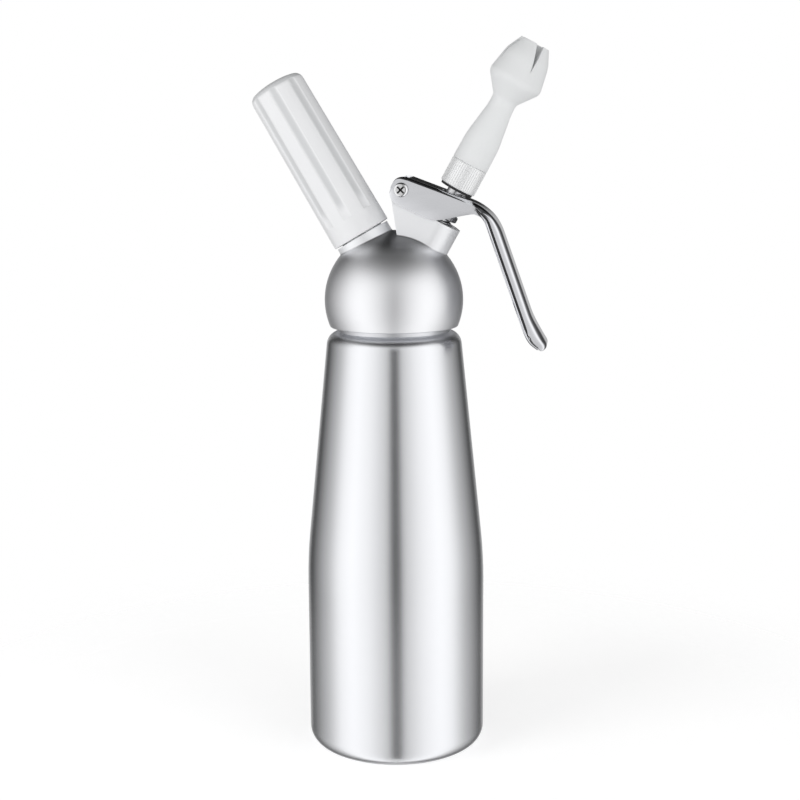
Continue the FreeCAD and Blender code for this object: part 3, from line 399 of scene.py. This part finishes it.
lever_mesh = bpy.data.meshes.new("lever_pressing")
sheet = bmesh.new()
rows = []
for over, under in zip(outer, inner):
    depth = math.dist(over, under)
    half_row = section(over, under)
    row = []
    for across, down in [(-y, d) for y, d in reversed(half_row)] + half_row[1:]:
        along = over[0] + (under[0] - over[0]) * down / depth
        rise = over[1] + (under[1] - over[1]) * down / depth
        spot = (math.cos(lever_lean) * along + math.sin(lever_lean) * rise,
                across, -math.sin(lever_lean) * along + math.cos(lever_lean) * rise)
        row.append(sheet.verts.new(pivot + Vector(spot) / 1000))
    rows.append((over[0], row))
middle = len(rows[0][1]) // 2
for number, ((along, first), (_, last)) in enumerate(zip(rows, rows[1:])):
    for column in range(len(first) - 1):
        off_middle = min(abs(column - middle), abs(column + 1 - middle))
        open_front = along < front_end and off_middle < 3
        stem_slot = slot_start < along < slot_end and number < 25 and off_middle < 2
        if not open_front and not stem_slot:
            face = sheet.faces.new((first[column], last[column], last[column + 1], first[column + 1]))
            # The groove's faces along the arm take the near-black finish, a painted dark reflection.
            face.material_index = int(off_middle in (14, 15) and painted_dark_start < along < painted_dark_end)
bmesh.ops.delete(sheet, geom=[vert for vert in sheet.verts if not vert.link_faces], context="VERTS")
bmesh.ops.recalc_face_normals(sheet, faces=sheet.faces)
top_face = max(sheet.faces, key=lambda face: face.calc_center_median().z)
if top_face.normal.z < 0:
    bmesh.ops.reverse_faces(sheet, faces=sheet.faces)
sheet.to_mesh(lever_mesh)
sheet.free()
lever = bpy.data.objects.new("lever_pressing", lever_mesh)
bpy.context.collection.objects.link(lever)


def finish_mesh(piece, angle):
    """Applies a piece's modifiers and shades it smooth, with edges sharper than the angle kept."""
    bpy.ops.object.select_all(action="DESELECT")
    piece.select_set(True)
    bpy.context.view_layer.objects.active = piece
    for modifier in list(piece.modifiers):
        bpy.ops.object.modifier_apply(modifier=modifier.name)
    bpy.ops.object.shade_smooth_by_angle(angle=math.radians(angle))


wall = lever.modifiers.new("wall", "SOLIDIFY")
wall.thickness = lever_sheet
wall.offset = -1.0
wall.use_even_offset = True
edge = lever.modifiers.new("edge", "BEVEL")
edge.width = 0.00018
edge.segments = 2
edge.limit_method = "ANGLE"
edge.angle_limit = math.radians(70.0)
finish_mesh(lever, 30.0)
polished = Finish("lever_polish", {"Metallic": 1.0})
streak = polished.grain(260.0, 3.0, (0.3, 3.0, 1.0))
smear = polished.grain(35.0)
polished.coat(polished.blend((0.73, 0.737, 0.765, 1.0), (0.83, 0.837, 0.865, 1.0), streak),
              0.07 + 0.05 * streak + 0.04 * smear, streak, 0.000003)
polished.give("lever")
lever.data.materials.append(polished.material)
# Groove finish: near black, a painted dark reflection in the arm's fine groove.
groove_painted_dark = Finish("lever_groove_painted_dark", {"Metallic": 1.0})
drag = groove_painted_dark.grain(500.0, 3.0, (0.5, 2.0, 0.5))
groove_painted_dark.coat(groove_painted_dark.blend((0.015, 0.015, 0.016, 1.0), (0.06, 0.06, 0.062, 1.0), drag),
           0.16 + 0.1 * drag, drag, 0.000004)
lever.data.materials.append(groove_painted_dark.material)
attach(lever, "lever")
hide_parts("lever")

# Pivot: a barrel nut and a cross-headed screw of chromed steel that carry the lever in the block.
# The heads are bright, with small scratches from the driver round the recess; the recess itself is coloured
# near black as painted shade.
recess_floor = -0.01285
recess_reach = 0.0024
chrome = Finish("screw_chrome", {"Metallic": 1.0})
scratch = chrome.grain(1400.0, 3.0, (1.0, 1.0, 0.4))
off_axis = chrome.node("ShaderNodeVectorMath", {"operation": "SUBTRACT"}, chrome.place, tuple(pivot))
flat = chrome.node("ShaderNodeVectorMath", {"operation": "MULTIPLY"}, off_axis, (1.0, 0.0, 1.0))
radius = chrome.node("ShaderNodeVectorMath", {"operation": "LENGTH"}, flat, out="Value")
# Painted shade: inside the cross recess the colour turns near black, and the surface is rougher.
recess_painted_shade = chrome.axis("Y").inside(recess_floor, -0.0115, 0.0001) * (1.0 - radius.ease(0.0021, recess_reach))
bright = chrome.blend((0.72, 0.72, 0.73, 1.0), (0.9, 0.9, 0.91, 1.0), scratch)
chrome.coat(chrome.blend(bright, (0.03, 0.03, 0.03, 1.0), recess_painted_shade), 0.08 + 0.1 * scratch + 0.3 * recess_painted_shade,
            scratch, 0.000008)
chrome.give("pivot_sleeve", "pivot_screw")

# Nozzle adapter: bright aluminium with straight knurling for the fingers, screwed on the valve's stem.
# It is pale and softly bright, with a fine grit and slight clouds in its shine.
knurled = Finish("adapter_bright", {"Metallic": 0.3})
grit = knurled.grain(2200.0, 3.0)
cloud = knurled.grain(120.0)
knurled.coat(knurled.blend((0.88, 0.885, 0.89, 1.0), (0.96, 0.965, 0.97, 1.0), grit),
             0.2 + 0.1 * grit + 0.05 * cloud, grit, 0.00001)
knurled.give("nozzle_adapter")

# Decorating tip: moulded in frosted white plastic that lets a little light through its thin walls.
# Two crossed slits cut its mouth into four petals.
frosted = Finish("tip_frosted", {"Subsurface Weight": 0.25, "Subsurface Scale": 0.004,
                                 "Subsurface Radius": (1.0, 1.0, 1.0), "Specular IOR Level": 0.4})
haze = frosted.grain(1100.0, 3.0)
cloud = frosted.grain(45.0)
frosted.coat(frosted.blend((0.82, 0.835, 0.84, 1.0), (0.88, 0.89, 0.895, 1.0), 0.5 * haze + 0.5 * cloud),
             0.36 + 0.12 * haze + 0.06 * cloud, haze, 0.00001)
frosted.give("decorating_tip")

# Gas charger: a drawn steel bottle for 8 g of gas, zinc plated to a satin grey.
# The plating has soft clouds and fine drawing lines along its length.
zinc = Finish("charger_zinc", {"Metallic": 1.0})
cloud = zinc.grain(80.0, 3.0)
line = zinc.grain(700.0, 2.0, (1.0, 1.0, 0.3))
zinc.coat(zinc.blend((0.52, 0.53, 0.56, 1.0), (0.66, 0.67, 0.69, 1.0), cloud),
          0.26 + 0.12 * line + 0.08 * cloud, line, 0.00001)
zinc.give("gas_charger")

# Holder insert: a turned aluminium thread pressed into the mouth of the charger holder.
# Only its lower face shows, as a thin grey line under the holder's rim.
insert = Finish("insert_turned", {"Metallic": 1.0})
rings = insert.grain(500.0, 2.0, (0.4, 0.4, 4.0))
insert.coat(insert.blend((0.5, 0.505, 0.51, 1.0), (0.66, 0.665, 0.67, 1.0), rings), 0.22 + 0.16 * rings,
            rings, 0.00001)
insert.give("holder_insert")

# Charger holder: a white moulded sleeve with shallow flutes for grip, semi-gloss all over, with painted shade
# coloured into the flutes.
# The plastic is very slightly mottled, with fine hairlines from being handled.
moulded = Finish("holder_white", {"Subsurface Weight": 0.1, "Subsurface Scale": 0.002,
                                  "Subsurface Radius": (1.0, 1.0, 1.0)})
mottle = moulded.grain(40.0, 3.0)
hair = moulded.grain(900.0, 2.0, (1.0, 1.0, 0.3))
holder_radius = 0.0133
holder_taper = 0.0104
flutes_start, flutes_end = 0.045, 0.108
holder_lean = math.radians(30.3)
holder_foot = Vector((0.0019, 0.0, 0.1985))
holder_axis = Vector((-math.sin(holder_lean), 0.0, math.cos(holder_lean)))
from_foot = moulded.node("ShaderNodeVectorMath", {"operation": "SUBTRACT"}, moulded.place, tuple(holder_foot))
dot = {"operation": "DOT_PRODUCT"}
up_axis = moulded.node("ShaderNodeVectorMath", dot, from_foot, tuple(holder_axis), out="Value")
cross = moulded.node("ShaderNodeVectorMath", {"operation": "CROSS_PRODUCT"}, from_foot, tuple(holder_axis))
off_axis = moulded.node("ShaderNodeVectorMath", {"operation": "LENGTH"}, cross, out="Value")
# Painted shade in the flutes: the colour turns grey where the surface sinks below the sleeve's skin.
shade_below_skin = (holder_radius - holder_taper * up_axis - off_axis).ease(0.00005, 0.0004)
groove = shade_below_skin * up_axis.inside(flutes_start, flutes_end, 0.003)
white = moulded.blend((0.88, 0.885, 0.9, 1.0), (0.93, 0.935, 0.945, 1.0), mottle)
moulded.coat(moulded.blend(white, (0.7, 0.71, 0.72, 1.0), groove), 0.24 + 0.08 * hair + 0.06 * mottle,
             hair, 0.000006)
moulded.give("holder_sleeve")

# Floor: a pale board under the dispenser that runs out into the white surroundings.
# It takes the soft shadow round the bottle's base.
floor_reach = 0.3
floor_fade = 0.14
bpy.ops.object.select_all(action="DESELECT")
bpy.ops.mesh.primitive_circle_add(vertices=96, radius=floor_reach, fill_type="NGON",
                                  location=(0.0, 0.0, 0.0))
bpy.ops.object.transform_apply(location=True, rotation=True, scale=True)
floor = bpy.context.object
floor.name = "floor"
board = Finish("floor_pale", {"Roughness": 0.9, "Specular IOR Level": 0.1})
seen, mirrored, through = board.rays()
distance = board.node("ShaderNodeVectorMath", {"operation": "LENGTH"}, board.place, out="Value")
mottle = board.grain(25.0)
board.coat(board.blend((0.9, 0.9, 0.9, 1.0), (0.93, 0.93, 0.93, 1.0), mottle))
board.shader.inputs["Emission Strength"].default_value = 1.0
board.join(board.shader.inputs["Emission Color"],
           board.blend((0.0, 0.0, 0.0, 1.0), (0.5, 0.5, 0.5, 1.0), seen + mirrored + through))
fade = 1.0 - distance.ease(floor_fade, floor_reach)
board.join(board.shader.inputs["Alpha"], fade * (1.0 - 0.92 * mirrored))
floor.data.materials.append(board.material)

# Studio: white surroundings, which shiny finishes show as a ring of pale and dark boards instead. These are
# brightest beside the camera and darkest towards the back, where a low white board stands, with a dark
# ceiling over them and a narrow dark board at the camera.
world = bpy.data.worlds.new("studio")
world.use_nodes = True
bpy.context.scene.world = world
room = Nodes(world.node_tree)
seen, mirrored, through = room.rays()
way = room.node("ShaderNodeTexCoord", {}, out="Generated")
camera_right = (math.cos(camera_angle), math.sin(camera_angle), 0.0)
ahead = room.node("ShaderNodeVectorMath", dot, way, tuple(stand.normalized()), out="Value")
beside = room.node("ShaderNodeVectorMath", dot, way, camera_right, out="Value")
upward = room.node("ShaderNodeSeparateXYZ", {}, way, out="Z")
turn = way.math("ARCTAN2", abs(beside), ahead) / math.pi
rise = way.math("ARCSINE", upward) * (180.0 / math.pi)
boards = room.node("ShaderNodeValToRGB", {"stops": [
    (0.0, 0.52), (0.08, 0.6), (0.2, 0.86), (0.33, 1.0), (0.43, 0.9), (0.55, 0.47), (0.66, 0.26),
    (0.73, 0.13), (0.78, 0.05), (0.83, 0.06), (0.89, 0.42)]}, turn)
slit = (1.0 - turn.ease(0.028, 0.052)) * rise.ease(-63.0, -57.0) * (1.0 - rise.ease(4.0, 56.0))
front = rise.ease(29.0, 60.0)
back = turn.ease(0.5, 0.8) * rise.ease(8.0, 32.0)
edge_on = turn.ease(0.93, 0.96) * rise.ease(-1.0, 3.0)
overhead = front.math("MAXIMUM", front.math("MAXIMUM", front, back), edge_on)
backdrop = turn.ease(0.95, 0.97) * rise.inside(-20.0, -3.0, 3.0)
shown = (boards * 1.22 * (1.0 - 0.95 * slit)) * (1.0 - 0.96 * overhead)
shown = shown + backdrop * (1.0 - shown)
plain = 0.85 - 0.5 * rise.ease(-35.0, 65.0)
level = plain + mirrored * (shown - plain)
white = seen.math("MAXIMUM", seen, through)
level = level + white * (1.0 - level)
room.join(world.node_tree.nodes["Background"].inputs["Strength"], level)
world.node_tree.nodes["Background"].inputs["Color"].default_value = (1.0, 1.0, 1.0, 1.0)


def soft_lamp(name, spot, size, power):
    """A square lamp that looks at the middle of the dispenser and isn't seen in the metal."""
    data = bpy.data.lights.new(name, "AREA")
    data.size = size
    data.energy = power
    lamp = bpy.data.objects.new(name, data)
    bpy.context.collection.objects.link(lamp)
    lamp.location = spot
    lamp.rotation_euler = (Vector((0.0, 0.0, 0.16)) - Vector(spot)).to_track_quat("-Z", "Y").to_euler()
    lamp.visible_glossy = False


soft_lamp("lamp_left", (-0.95, -0.9, 0.55), 0.7, 5.0)
soft_lamp("lamp_right", (0.95, -0.85, 0.4), 0.7, 3.0)
